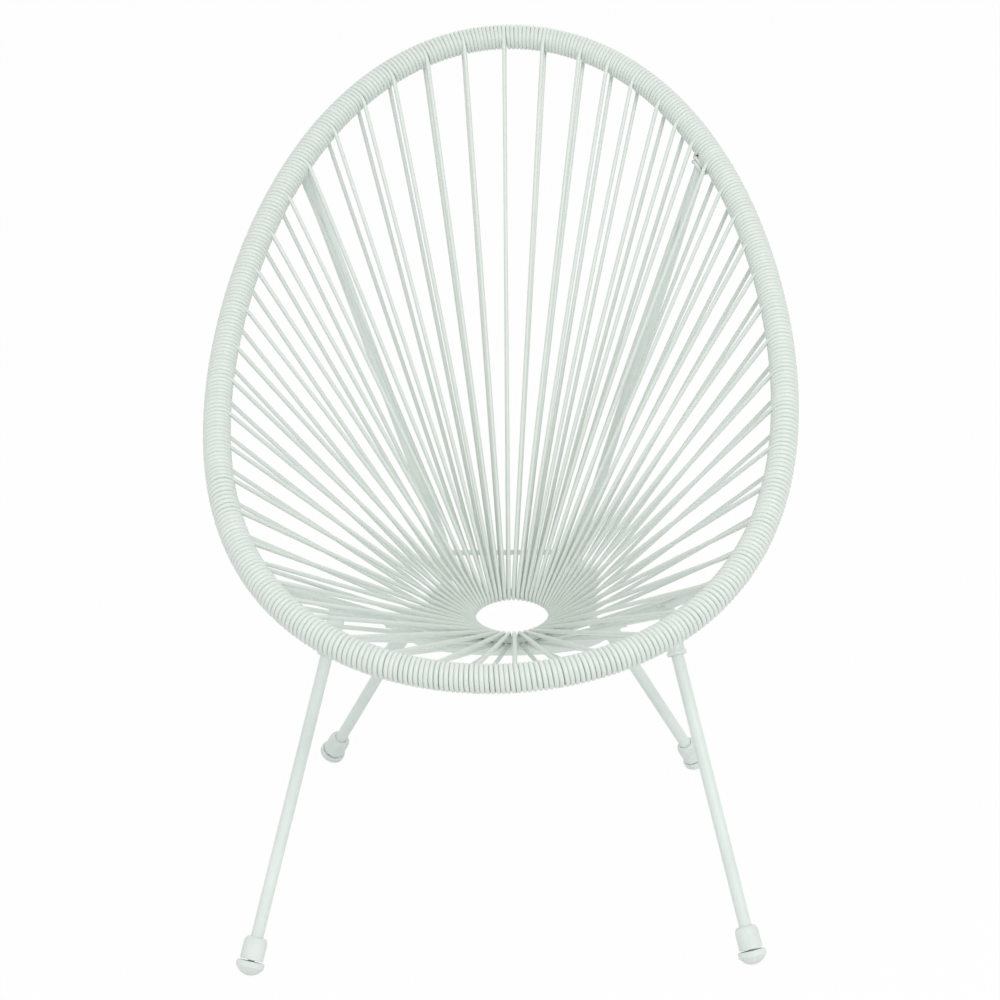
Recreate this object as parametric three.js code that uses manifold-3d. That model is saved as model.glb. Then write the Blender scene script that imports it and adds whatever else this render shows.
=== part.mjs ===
// Lounge chair strung on an egg-shaped steel hoop.
// One cord is wound round the hoop and, step by step, runs down over a small centre
// ring and back, so that the spans make a bucket seat. Two bent side tubes, a front bow
// and a thin rear crossbar carry the hoop on four splayed legs with plastic feet.
// Millimetres, +Z up, the sitter faces -Y, the feet stand on z = 0.
import * as THREE from 'three';
import { mergeVertices } from 'three/addons/utils/BufferGeometryUtils.js';
import Module from 'manifold-3d';

const wasm = await Module();
wasm.setup();

// Clearances
const seatGap = 0.3;
const cordGap = 0.5;
const legFit = 0.35;
const weldTolerance = 1e-4;

// Hoop: an egg outline that climbs towards the back
const hoopHalfWidth = 349;
const hoopShoulder = 10;
const hoopFullness = 8;
const hoopHalfDepth = 457;
const hoopMidHeight = 622.8;
const hoopRise = 246.2;
const hoopCrown = 43;
const hoopTube = 22;

// Cord: spans over the centre ring and turns round the hoop
const cordDiameter = 5.4;
const spanCount = 52;
const spansPerLength = 4;
const ribsPerSpan = 3;
const ribDepth = 2;
const weldRoom = 20;

// Steps by which the spans leave the hoop ahead of an even spacing: span, then steps
const stringingShares = [
  [0, -0.1], [2, 0], [4, -0.3], [5, -0.3], [6, -0.5], [8, -0.95], [12, -1.2], [16, -1.05],
  [18, -0.6], [21, -0.42], [24, -0.2], [26, -0.5], [28, -0.9], [31, -0.8], [33, -1.4],
  [35, -2.05], [41, -1.93], [45, -1.05], [46, -0.84], [48, -0.4], [52, -0.1],
];
const ringStartShare = -0.5;

// Centre ring, its rear edge the higher
const ringTiltDegrees = 5.5;
const ringRadius = 57;
const ringRod = 10;
const ringHeight = 262;
const ringSideways = 6;
const ringForward = 8;
const ringTilt = THREE.MathUtils.degToRad(ringTiltDegrees);

// Side tubes, from the front weld under the seat to the back weld
const sideTube = 19;
const bendRadius = 70;
const lowFrontX = 115;
const lowFrontY = 38;
const lowFrontDrop = 34;
const lowFrontZ = ringHeight - lowFrontDrop;
const lowBackX = 78;
const lowBackDepthShare = 0.4267;
const lowBackY = hoopHalfDepth * lowBackDepthShare;
const lowBackDrop = 32;
const lowBackZ = ringHeight - lowBackDrop;
const frontWeldShare = 0.3873;
const rightBackWeldShare = 0.1283;
const leftBackWeldShare = 0.1312;
const bendSteps = 6;

// Front bow and rear crossbar
const bowTube = 19;
const bowMidY = -30;
const bowMidDrop = 27.5;
const bowMidZ = ringHeight - bowMidDrop;
const bowKneeX = 105;
const bowKneeY = -32;
const bowKneeDrop = 14;
const bowKneeZ = ringHeight - bowKneeDrop;
const bowWeldShare = 0.75;
const crossbarRod = 7.5;
const crossbarHeight = ringHeight;

// Leg sockets on the side tubes
const socketOutside = 21.5;
const socketLength = 63;
const socketCollar = 24;
const socketCollarLength = 5;
const socketRound = 1.2;
const frontSocketShare = 0.45;
const rearSocketShare = 0.91;

// Legs
const legTube = 15;
const legWall = 1.5;
const legStop = 22;
const frontFootX = 293;
const rightFrontFootY = -378;
const leftFrontFootY = -402;
const rearFootX = 245;
const rightRearFootY = 70;
const leftRearFootY = 90;

// Feet: a sleeve over the leg end and a domed glide under it
const sleeveOutside = 28;
const sleeveShoulder = 18;
const sleeveRoundShare = 0.3;
const sleeveLength = 27;
const sleeveFloor = 5;
const seamGap = 1.8;
const glideOutside = 33.5;
const glideHeight = 16.5;
const glideShoulder = 30.5;
const glideDome = 18;
const glideFlat = 0.5;
const domeArcs = 3;
const spigotDiameter = 8;
const spigotLength = 4;

// Facets round each kind of section
const tubeSides = 12;
const cordSides = 5;
const wrapSides = 8;
const turnedSides = 12;
const ringSteps = 24;
const bowSteps = 10;
const ringCorners = 4;

const powderCoat = { color: 0xdfe8e2, roughness: 0.42, metalness: 0.0 };
const cordPlastic = { color: 0xdde9e2, roughness: 0.35, metalness: 0.0 };
const footPlastic = { color: 0xdfe6e1, roughness: 0.5, metalness: 0.0 };

const uprightShare = 0.9;
const UP = new THREE.Vector3(0, 0, 1);
const ACROSS = new THREE.Vector3(1, 0, 0);
const bowl = new THREE.Vector3(0, 0, hoopMidHeight);
const ringCentre = new THREE.Vector3(ringSideways, ringForward, ringHeight);
const chair = new THREE.Group();

// Adds one named piece to the chair
function addPiece(name, geometry, finish) {
  const piece = new THREE.Mesh(geometry, new THREE.MeshStandardMaterial(finish));
  piece.name = name;
  chair.add(piece);
  return piece;
}

// Turns a closed geometry into a solid that can be joined and cut
function toSolid(geometry) {
  const bare = geometry.clone();
  bare.deleteAttribute('normal');
  bare.deleteAttribute('uv');
  const merged = mergeVertices(bare, weldTolerance);
  return new wasm.Manifold(new wasm.Mesh({
    numProp: 3,
    vertProperties: new Float32Array(merged.attributes.position.array),
    triVerts: new Uint32Array(merged.index.array),
  }));
}

// Turns a solid back into a geometry
function toGeometry(solid) {
  const mesh = solid.getMesh();
  const geometry = new THREE.BufferGeometry();
  const places = new Float32Array(mesh.numVert * 3);
  for (let i = 0; i < mesh.numVert; i += 1) {
    for (let k = 0; k < 3; k += 1) {
      places[3 * i + k] = mesh.vertProperties[i * mesh.numProp + k];
    }
  }
  geometry.setAttribute('position', new THREE.BufferAttribute(places, 3));
  geometry.setIndex(new THREE.BufferAttribute(new Uint32Array(mesh.triVerts), 1));
  geometry.computeVertexNormals();
  return geometry;
}

// The hoop's centreline, from the top of the back round by the right side
class HoopCurve extends THREE.Curve {
  getPoint(share, target = new THREE.Vector3()) {
    const turn = 2 * Math.PI * share;
    const back = Math.cos(turn);
    const side = hoopHalfWidth * Math.sin(turn) - hoopShoulder * Math.sin(2 * turn)
      + hoopFullness * Math.sin(3 * turn);
    return target.set(side, hoopHalfDepth * back,
      hoopMidHeight + hoopRise * back + hoopCrown * back * back);
  }
}

const hoopCurve = new HoopCurve();
hoopCurve.arcLengthDivisions = 20 * spanCount;
const hoopLength = hoopCurve.getLength();

function wrapShare(share) {
  return share - Math.floor(share);
}

function onCurve(share) {
  return hoopCurve.getPointAt(wrapShare(share));
}

// The hoop is bent in straight steps with a corner half way between two spans
function onHoop(share) {
  const place = share * spanCount - 0.5;
  const corner = Math.floor(place);
  const start = onCurve((corner + 0.5) / spanCount);
  const end = onCurve((corner + 1.5) / spanCount);
  return start.lerp(end, place - corner);
}

function alongHoop(share) {
  return hoopCurve.getTangentAt(wrapShare(share)).normalize();
}

// A ring of points round a centre, square to a direction, its first point uppermost
function ringAround(centre, along, radius, sides) {
  const rise = UP.clone().addScaledVector(along, -UP.dot(along)).normalize();
  const side = new THREE.Vector3().crossVectors(along, rise);
  const points = [];
  for (let i = 0; i < sides; i += 1) {
    const angle = 2 * Math.PI * i / sides;
    points.push(centre.clone().addScaledVector(rise, radius * Math.cos(angle))
      .addScaledVector(side, radius * Math.sin(angle)));
  }
  return points;
}

// Joins rings of equal size into one skin; loop closes it, else flat caps do
function skinOf(rings, loop) {
  const sides = rings[0].length;
  const places = rings.flat().flatMap((point) => [point.x, point.y, point.z]);
  const index = [];
  const spans = loop ? rings.length : rings.length - 1;
  for (let i = 0; i < spans; i += 1) {
    const low = i * sides;
    const high = ((i + 1) % rings.length) * sides;
    for (let k = 0; k < sides; k += 1) {
      const next = (k + 1) % sides;
      index.push(low + k, low + next, high + next, low + k, high + next, high + k);
    }
  }
  if (!loop) {
    const last = (rings.length - 1) * sides;
    for (let k = 1; k < sides - 1; k += 1) {
      index.push(0, k + 1, k, last, last + k, last + k + 1);
    }
  }
  const geometry = new THREE.BufferGeometry();
  geometry.setAttribute('position', new THREE.Float32BufferAttribute(places, 3));
  geometry.setIndex(index);
  geometry.computeVertexNormals();
  return geometry;
}

// A round bar or tube along a path, mitred at each point of the path
function barAlong(path, radius, sides) {
  const rings = [];
  let side = null;
  for (let i = 0; i < path.length; i += 1) {
    const before = path[Math.max(i - 1, 0)];
    const after = path[Math.min(i + 1, path.length - 1)];
    const into = path[i].clone().sub(before).normalize();
    const out = after.clone().sub(path[i]).normalize();
    const along = into.clone().add(out).normalize();
    if (side === null) {
      const seed = Math.abs(along.z) < uprightShare ? UP : ACROSS;
      side = new THREE.Vector3().crossVectors(along, seed);
    }
    side.addScaledVector(along, -side.dot(along)).normalize();
    const other = new THREE.Vector3().crossVectors(along, side);
    const half = into.lengthSq() && out.lengthSq() ? into.angleTo(out) / 2 : 0;
    const bend = out.clone().sub(into);
    const outward = bend.lengthSq() > 0 && half > 0 ? bend.normalize() : null;
    const ring = [];
    for (let k = 0; k < sides; k += 1) {
      const angle = 2 * Math.PI * k / sides;
      const arm = side.clone().multiplyScalar(radius * Math.cos(angle))
        .addScaledVector(other, radius * Math.sin(angle));
      if (outward) {
        arm.addScaledVector(outward, arm.dot(outward) * (1 / Math.cos(half) - 1));
      }
      ring.push(path[i].clone().add(arm));
    }
    rings.push(ring);
  }
  return skinOf(rings, false);
}

// A path through corners, each but the ends rounded to a bend radius
function bentPath(corners, radius, steps) {
  const path = [corners[0]];
  for (let i = 1; i < corners.length - 1; i += 1) {
    const into = corners[i].clone().sub(corners[i - 1]).normalize();
    const out = corners[i + 1].clone().sub(corners[i]).normalize();
    const angle = into.angleTo(out);
    const reach = radius * Math.tan(angle / 2);
    const inward = out.clone().sub(into).normalize();
    const centre = corners[i].clone().addScaledVector(inward, radius / Math.cos(angle / 2));
    const start = corners[i].clone().addScaledVector(into, -reach).sub(centre);
    const axis = new THREE.Vector3().crossVectors(into, out).normalize();
    const count = Math.max(2, Math.round(steps * angle / (Math.PI / 2)));
    for (let k = 0; k <= count; k += 1) {
      path.push(start.clone().applyAxisAngle(axis, angle * k / count).add(centre));
    }
  }
  path.push(corners[corners.length - 1]);
  return path;
}

// A turned piece whose profile is given as radius and distance along an axis
function turned(profile, origin, axis, sides) {
  const points = profile.map(([radius, along]) => new THREE.Vector2(radius, along));
  const geometry = new THREE.LatheGeometry(points, sides);
  const turn = new THREE.Quaternion().setFromUnitVectors(new THREE.Vector3(0, 1, 0), axis);
  geometry.applyQuaternion(turn);
  geometry.translate(origin.x, origin.y, origin.z);
  return geometry;
}

function mirrored(point, hand) {
  return new THREE.Vector3(hand * point.x, point.y, point.z);
}

// Steps by which a span is ahead of an even spacing, read between two marks
function strungAhead(number) {
  const after = Math.max(1, stringingShares.findIndex(([mark]) => number <= mark));
  const [high, end] = stringingShares[after];
  const [low, start] = stringingShares[after - 1];
  return start + (end - start) * (number - low) / (high - low);
}

// The share of the hoop where a span starts, moved aside where a tube is welded on
function spanShare(number) {
  const lap = Math.floor(number / spanCount);
  const place = number - lap * spanCount;
  const strung = (place + strungAhead(place)) / spanCount;
  const welds = [frontWeldShare, rightBackWeldShare, 1 - frontWeldShare, 1 - leftBackWeldShare];
  for (const weld of welds) {
    const aside = (strung - weld) * hoopLength;
    if (Math.abs(aside) < weldRoom) {
      return lap + weld + Math.sign(aside) * weldRoom / hoopLength;
    }
  }
  return lap + strung;
}

// The place half way between two spans, where one length of cord follows another
function lengthEnd(number) {
  return (spanShare(number - 1) + spanShare(number)) / 2;
}

// One span: from the hoop's upper face over the ring, round it and back to the under face
function spanPath(number) {
  const share = spanShare(number);
  const turn = 2 * Math.PI * (number + ringStartShare) / spanCount;
  const top = onHoop(share);
  const outward = new THREE.Vector3(Math.sin(turn), Math.cos(turn), 0);
  const ringAlong = new THREE.Vector3(outward.y, -outward.x, 0);
  const low = outward.clone().multiplyScalar(ringRadius).applyAxisAngle(ACROSS, ringTilt);
  low.add(ringCentre);
  ringAlong.applyAxisAngle(ACROSS, ringTilt);
  const away = low.clone().sub(top).normalize();
  const topFace = faceNormal(alongHoop(share), away, top);
  const lowFace = faceNormal(ringAlong, away, low);
  const topReach = hoopTube / 2 + seatGap + cordDiameter / 2;
  const ringReach = ringRod / 2 + cordGap + cordDiameter / 2;
  const step = Math.PI / ringCorners;
  const bulge = ringReach / Math.cos(step / 2);
  const path = [top.clone().addScaledVector(topFace, topReach)];
  for (let k = 0; k < ringCorners; k += 1) {
    const angle = Math.PI / 2 - step * (k + 0.5);
    path.push(low.clone()
      .addScaledVector(lowFace, bulge * Math.sin(angle))
      .addScaledVector(ringSide(ringAlong, lowFace), bulge * Math.cos(angle)));
  }
  path.push(top.clone().addScaledVector(topFace, -topReach));
  return path;
}

// The normal of the seat's upper face where a span lies on a bar that runs along
function faceNormal(along, away, place) {
  const normal = new THREE.Vector3().crossVectors(along, away).normalize();
  return normal.dot(bowl.clone().sub(place)) < 0 ? normal.negate() : normal;
}

// The side of the ring's rod that faces away from the hoop, square to the rod
function ringSide(ringAlong, lowFace) {
  return new THREE.Vector3().crossVectors(lowFace, ringAlong).normalize();
}

// The turns round the hoop over some spans, as a ribbed sleeve with an open bore
function wrapSleeve(first, last) {
  const crest = hoopTube / 2 + seatGap + cordDiameter;
  const bore = (hoopTube / 2 + seatGap) / Math.cos(Math.PI / wrapSides);
  const start = lengthEnd(first) + seatGap / 2 / hoopLength;
  const end = lengthEnd(last + 1) - seatGap / 2 / hoopLength;
  const steps = 2 * ribsPerSpan * (last - first + 1);
  const rings = [];
  for (let k = 0; k <= steps; k += 1) {
    const share = start + (end - start) * k / steps;
    const radius = k % 2 ? crest : crest - ribDepth;
    rings.push(ringAround(onCurve(share), alongHoop(share), radius, wrapSides));
  }
  rings.push(ringAround(onHoop(end), alongHoop(end), bore, wrapSides));
  let corner = Math.ceil(end * spanCount - 0.5) - 1;
  for (; corner + 0.5 > start * spanCount; corner -= 1) {
    const share = (corner + 0.5) / spanCount;
    rings.push(ringAround(onCurve(share), alongHoop(share), bore, wrapSides));
  }
  rings.push(ringAround(onHoop(start), alongHoop(start), bore, wrapSides));
  return skinOf(rings, true);
}

// Side tube of one hand: its corners, and the same tube grown by a clearance
function sideCorners(hand) {
  const corners = [
    onHoop(frontWeldShare),
    new THREE.Vector3(lowFrontX, lowFrontY, lowFrontZ),
    new THREE.Vector3(lowBackX, lowBackY, lowBackZ),
    onHoop(hand > 0 ? rightBackWeldShare : leftBackWeldShare),
  ];
  return corners.map((corner) => mirrored(corner, hand));
}

function sideBar(hand, grow) {
  const path = bentPath(sideCorners(hand), bendRadius, bendSteps);
  return toSolid(barAlong(path, sideTube / 2 + grow, tubeSides));
}

// The hoop's bar, also grown by a clearance where it cuts a tube that is welded to it
function hoopBar(grow) {
  const rings = [];
  for (let i = 0; i < spanCount; i += 1) {
    const share = (i + 0.5) / spanCount;
    rings.push(ringAround(onCurve(share), alongHoop(share), hoopTube / 2 + grow, wrapSides));
  }
  return skinOf(rings, true);
}

// Frame
addPiece('rim_hoop', hoopBar(0), powderCoat);
const hoopRoom = toSolid(hoopBar(seatGap));
const hands = [['right', 1], ['left', -1]];
for (const [side, hand] of hands) {
  addPiece(`side_tube_${side}`, toGeometry(sideBar(hand, 0).subtract(hoopRoom)), powderCoat);
}

// Leg sockets, legs and feet
function legAxis(hand, socketShare, footX, footY) {
  const corners = sideCorners(hand);
  const top = corners[0].lerp(corners[1], socketShare);
  const foot = new THREE.Vector3(hand * footX, footY, glideDome - glideFlat);
  const reach = top.distanceTo(foot);
  return { top, foot, down: foot.clone().sub(top).normalize(), reach };
}

function socketGeometry(axis, hand) {
  const outside = socketOutside / 2;
  const bore = legTube / 2 + legFit;
  const collar = socketCollar / 2;
  const profile = [
    [bore, 0], [outside, 0], [outside, socketLength - socketCollarLength],
    [collar, socketLength - socketCollarLength + socketRound],
    [collar, socketLength - socketRound], [collar - socketRound, socketLength],
    [bore, socketLength], [bore, 0],
  ];
  const socket = toSolid(turned(profile, axis.top, axis.down, turnedSides));
  return toGeometry(socket.subtract(sideBar(hand, seatGap)));
}

function legGeometry(axis) {
  const outside = legTube / 2;
  const bore = outside - legWall;
  const end = axis.reach - seamHeight() - sleeveLength + sleeveDepth() - seatGap;
  const profile = [
    [bore, legStop], [outside, legStop], [outside, end], [bore, end], [bore, legStop],
  ];
  return turned(profile, axis.top, axis.down, turnedSides);
}

// The sleeve's under face, up the leg from the centre of the dome
function seamHeight() {
  return glideHeight - glideDome + seamGap;
}

function sleeveDepth() {
  return sleeveLength - sleeveFloor;
}

function sleeveGeometry(axis) {
  const base = seamHeight();
  const top = base + sleeveLength;
  const bore = legTube / 2 + legFit;
  const outside = sleeveOutside / 2;
  const round = (sleeveOutside - sleeveShoulder) / 2;
  const ease = round * sleeveRoundShare;
  const pocket = spigotDiameter / 2 + seatGap;
  const pocketTop = base + spigotLength - seamGap + seatGap;
  const profile = [
    [0, base + sleeveFloor], [bore, base + sleeveFloor], [bore, top],
    [sleeveShoulder / 2, top], [outside - ease, top - ease],
    [outside, top - round], [outside, base], [pocket, base],
    [pocket, pocketTop], [0, pocketTop],
  ];
  return turned(profile.reverse(), axis.foot, axis.down.clone().negate(), turnedSides);
}

function glideGeometry(axis) {
  const top = seamHeight() - seamGap;
  const outside = glideOutside / 2;
  const spigot = spigotDiameter / 2;
  const profile = [[0, -glideDome]];
  const widest = Math.acos(Math.min(1, glideShoulder / 2 / glideDome));
  for (let k = 1; k <= domeArcs; k += 1) {
    const angle = -Math.PI / 2 + (Math.PI / 2 - widest) * k / domeArcs;
    profile.push([glideDome * Math.cos(angle), glideDome * Math.sin(angle)]);
  }
  const ridge = outside - glideShoulder / 2;
  const low = ridge - glideDome * Math.sin(widest);
  profile.push([outside, low], [outside, top - socketRound], [outside - socketRound, top]);
  profile.push([spigot, top], [spigot, top + spigotLength], [0, top + spigotLength]);
  const glide = toSolid(turned(profile, axis.foot, axis.down.clone().negate(), turnedSides));
  const floor = new THREE.BoxGeometry(2 * glideOutside, 2 * glideOutside, glideOutside);
  floor.translate(axis.foot.x, axis.foot.y, -glideOutside / 2);
  return toGeometry(glide.subtract(toSolid(floor)));
}

const legs = {};
for (const [side, hand] of hands) {
  const frontFootY = hand > 0 ? rightFrontFootY : leftFrontFootY;
  const rearFootY = hand > 0 ? rightRearFootY : leftRearFootY;
  legs[`front_${side}`] = [legAxis(hand, frontSocketShare, frontFootX, frontFootY), hand];
  legs[`rear_${side}`] = [legAxis(hand, rearSocketShare, rearFootX, rearFootY), hand];
}
for (const [place, [axis, hand]] of Object.entries(legs)) {
  addPiece(`leg_socket_${place}`, socketGeometry(axis, hand), powderCoat);
  addPiece(`leg_${place}`, legGeometry(axis), powderCoat);
  addPiece(`foot_sleeve_${place}`, sleeveGeometry(axis), footPlastic);
  addPiece(`foot_glide_${place}`, glideGeometry(axis), footPlastic);
}

// Front bow, from side tube to side tube just under the front of the centre ring
function bowGeometry() {
  const ends = hands.map(([, hand]) => {
    const corners = sideCorners(hand);
    return corners[0].lerp(corners[1], bowWeldAlong());
  });
  const knee = new THREE.Vector3(bowKneeX, bowKneeY, bowKneeZ);
  const middle = new THREE.Vector3(0, bowMidY, bowMidZ);
  const curve = new THREE.CatmullRomCurve3([
    ends[0], knee, middle, mirrored(knee, -1), ends[1],
  ], false, 'centripetal');
  let bow = toSolid(barAlong(curve.getSpacedPoints(bowSteps), bowTube / 2, tubeSides));
  for (const [, hand] of hands) {
    bow = bow.subtract(sideBar(hand, seatGap));
  }
  return toGeometry(keepLargest(bow));
}

// The bow meets the straight run between the two leg sockets
function bowWeldAlong() {
  return frontSocketShare + (rearSocketShare - frontSocketShare) * bowWeldShare;
}

// Cutting a bar at a hollow neighbour leaves a stub inside it, which is dropped
function keepLargest(solid) {
  const pieces = solid.decompose();
  pieces.sort((a, b) => b.volume() - a.volume());
  return pieces[0];
}

addPiece('front_bow', bowGeometry(), powderCoat);

// Rear crossbar, between the upright runs of the side tubes
function crossbarGeometry() {
  const ends = hands.map(([, hand]) => {
    const [, , low, high] = sideCorners(hand);
    return low.lerp(high, (crossbarHeight - low.z) / (high.z - low.z));
  });
  let bar = toSolid(barAlong(ends, crossbarRod / 2, tubeSides));
  for (const [, hand] of hands) {
    bar = bar.subtract(sideBar(hand, seatGap));
  }
  return toGeometry(keepLargest(bar));
}

addPiece('rear_crossbar', crossbarGeometry(), powderCoat);

// Centre ring
const ring = new THREE.TorusGeometry(ringRadius, ringRod / 2, wrapSides, ringSteps);
ring.rotateX(ringTilt);
ring.translate(ringCentre.x, ringCentre.y, ringCentre.z);
addPiece('centre_ring', ring, powderCoat);

// The cord, in lengths of four spans with the turns between them
const lengthCount = spanCount / spansPerLength;
for (let number = 0; number < lengthCount; number += 1) {
  const first = number * spansPerLength;
  const last = first + spansPerLength - 1;
  let cord = toSolid(wrapSleeve(first, last));
  for (let span = first; span <= last; span += 1) {
    cord = cord.add(toSolid(barAlong(spanPath(span), cordDiameter / 2, cordSides)));
  }
  for (const [, hand] of hands) {
    cord = cord.subtract(sideBar(hand, seatGap));
  }
  const label = String(number + 1).padStart(2, '0');
  addPiece(`cord_length_${label}`, toGeometry(cord), cordPlastic);
}

export default chair;
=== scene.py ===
"""Lounge chair strung with one cord on an egg-shaped steel hoop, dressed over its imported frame."""
import bisect
import functools
import logging
import math
import random
from dataclasses import dataclass, field
from enum import Enum

import bpy
from mathutils import Matrix, Vector


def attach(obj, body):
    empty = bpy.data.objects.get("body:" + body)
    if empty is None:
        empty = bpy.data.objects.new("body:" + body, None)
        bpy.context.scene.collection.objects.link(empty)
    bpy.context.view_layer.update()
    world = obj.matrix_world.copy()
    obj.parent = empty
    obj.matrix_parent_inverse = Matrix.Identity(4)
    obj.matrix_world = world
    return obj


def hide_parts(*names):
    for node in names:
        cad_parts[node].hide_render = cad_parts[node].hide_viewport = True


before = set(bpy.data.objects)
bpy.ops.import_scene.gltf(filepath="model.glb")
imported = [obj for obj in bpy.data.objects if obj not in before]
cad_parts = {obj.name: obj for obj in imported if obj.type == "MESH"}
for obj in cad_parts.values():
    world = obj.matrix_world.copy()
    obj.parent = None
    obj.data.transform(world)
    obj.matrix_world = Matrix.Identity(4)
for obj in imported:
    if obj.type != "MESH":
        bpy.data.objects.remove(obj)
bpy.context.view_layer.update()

Place = tuple[float, float, float]
Colour = tuple[float, float, float, float]
Marks = tuple[tuple[float, float], ...]
Rounding = tuple[float, int]

ROOT_BODY = "root"
UP = Vector((0.0, 0.0, 1.0))
QUARTER = math.pi / 2
FULL_TURN = 2 * math.pi
MERGE_REACH = 1e-6
SHARP_ANGLE = 0.6
BLUNT_ANGLE = 1.2
FRONT_SOCKET_SHARE = 0.45
REAR_SOCKET_SHARE = 0.91
LOG = logging.getLogger("lounge_chair")


class Slot(Enum):
    """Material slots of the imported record."""

    PAINT = "frame_paint"
    CORD = "cord_plastic"
    FOOT = "foot_plastic"


class Hand(Enum):
    """The chair's two sides as seen from the front, right being +X."""

    RIGHT = 1
    LEFT = -1

    @property
    def word(self) -> str:
        """The side's name as used in piece names."""
        return self.name.lower()


# Where the feet stand: across to their own side, then back
FRONT_FEET = {Hand.RIGHT: (0.293, -0.378), Hand.LEFT: (0.293, -0.402)}
REAR_FEET = {Hand.RIGHT: (0.245, 0.070), Hand.LEFT: (0.245, 0.090)}


def linear(red: int, green: int, blue: int) -> Colour:
    """Turn a display colour into the linear colour that a shader takes.

    Args:
        red: Red, 0 to 255.
        green: Green, 0 to 255.
        blue: Blue, 0 to 255.

    Returns:
        The linear colour with full opacity.
    """
    knee, toe_slope, offset, power = 0.04045, 12.92, 0.055, 2.4
    shares = []
    for level in (red, green, blue):
        share = level / 255
        bent = share / toe_slope if share <= knee else ((share + offset) / (1 + offset)) ** power
        shares.append(bent)
    return (shares[0], shares[1], shares[2], 1.0)


def distances(route: list[Vector], start: float = 0.0) -> list[float]:
    """Measure along a route.

    Args:
        route: The route's points.
        start: The distance at the first point.

    Returns:
        The distance at each point.
    """
    runs = [start]
    for before, after in zip(route, route[1:]):
        runs.append(runs[-1] + (after - before).length)
    return runs


class Graph:
    """The node tree of a material or a world, with short ways to add and join nodes."""

    def __init__(self, owner: bpy.types.Material | bpy.types.World) -> None:
        """Empty the owner's node tree.

        Args:
            owner: The new material or world.
        """
        owner.use_nodes = True
        self.owner = owner
        self.nodes = owner.node_tree.nodes
        self.links = owner.node_tree.links
        self.nodes.clear()

    def add(self, kind: str, inputs: dict | None = None, **values: object) -> bpy.types.Node:
        """Add a node, set its properties and fill its sockets.

        Args:
            kind: The node's type without its prefix.
            inputs: By socket, an even value or the socket that is linked to it.
            **values: Properties of the node.

        Returns:
            The new node.
        """
        node = self.nodes.new("ShaderNode" + kind)
        for key, value in values.items():
            setattr(node, key, value)
        for key, value in (inputs or {}).items():
            if isinstance(value, bpy.types.NodeSocket):
                self.links.new(value, node.inputs[key])
            else:
                node.inputs[key].default_value = value
        return node

    def math(self, operation: str, first: object, second: object = 0.0) -> bpy.types.NodeSocket:
        """Add a math node on two sockets or numbers and return its value."""
        return self.add("Math", {0: first, 1: second}, operation=operation).outputs["Value"]

    def noise(self, vector: bpy.types.NodeSocket, scale: float, detail: float) -> bpy.types.NodeSocket:
        """Add a noise texture of a pitch and octaves, and return its value, around one half."""
        return self.add("TexNoise", {"Vector": vector, "Scale": scale, "Detail": detail}).outputs["Fac"]

    def between(self, value: bpy.types.NodeSocket, low: float, high: float) -> bpy.types.NodeSocket:
        """Spread a noise value over a range.

        Args:
            value: A noise value.
            low: The result where the noise is lowest.
            high: The result where the noise is highest.

        Returns:
            The ranged value.
        """
        quiet, loud = 0.3, 0.7
        limits = {"From Min": quiet, "From Max": loud, "To Min": low, "To Max": high}
        return self.add("MapRange", {"Value": value, **limits}).outputs["Result"]

    def blend(self, share: bpy.types.NodeSocket, low: Colour, high: Colour) -> bpy.types.NodeSocket:
        """Mix two colours by a noise value.

        Args:
            share: The noise value.
            low: The colour where it is lowest.
            high: The colour where it is highest.

        Returns:
            The colour socket.
        """
        node = self.add("Mix", data_type="RGBA")
        sockets = (socket for socket in node.inputs if socket.type == "RGBA")
        for socket, colour in zip(sockets, (low, high)):
            socket.default_value = colour
        self.links.new(self.between(share, 0.0, 1.0), node.inputs[0])
        return next(socket for socket in node.outputs if socket.type == "RGBA")

    def seen_directly(self) -> bpy.types.NodeSocket:
        """A value of one for camera, glossy and transmission rays, else zero."""
        rays = self.add("LightPath").outputs
        value = rays["Is Camera Ray"]
        for name in ("Is Glossy Ray", "Is Transmission Ray"):
            value = self.math("MAXIMUM", value, rays[name])
        return value

    def close(self, shader: bpy.types.NodeSocket) -> None:
        """Join a shader to the tree's output."""
        kind = "OutputWorld" if isinstance(self.owner, bpy.types.World) else "OutputMaterial"
        self.add(kind, {"Surface": shader})


@dataclass(frozen=True, kw_only=True)
class Finish:
    """What every finish has: two tints, a relief, a range of roughness and a clear coat."""

    name: str
    pale: tuple[int, int, int]
    deep: tuple[int, int, int]
    relief_depth: float
    rough_low: float
    rough_high: float
    coat: float = 0.0
    coat_rough: float = 0.03
    ior: float = 1.5

    def patterns(self, graph: Graph) -> tuple[bpy.types.NodeSocket, ...]:
        """Add the finish's own patterns of tint, roughness and relief."""
        raise NotImplementedError

    def material(self) -> bpy.types.Material:
        """Build the material from the finish's patterns."""
        graph = Graph(bpy.data.materials.new(self.name))
        tint, rub, relief = self.patterns(graph)
        shader = graph.add("BsdfPrincipled", {
            "Base Color": graph.blend(tint, linear(*self.deep), linear(*self.pale)),
            "Roughness": graph.between(rub, self.rough_low, self.rough_high),
            "Normal": graph.add("Bump", {"Height": relief, "Distance": self.relief_depth}).outputs["Normal"],
            "Coat Weight": self.coat, "Coat Roughness": self.coat_rough, "IOR": self.ior,
        })
        graph.close(shader.outputs["BSDF"])
        return graph.owner


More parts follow.
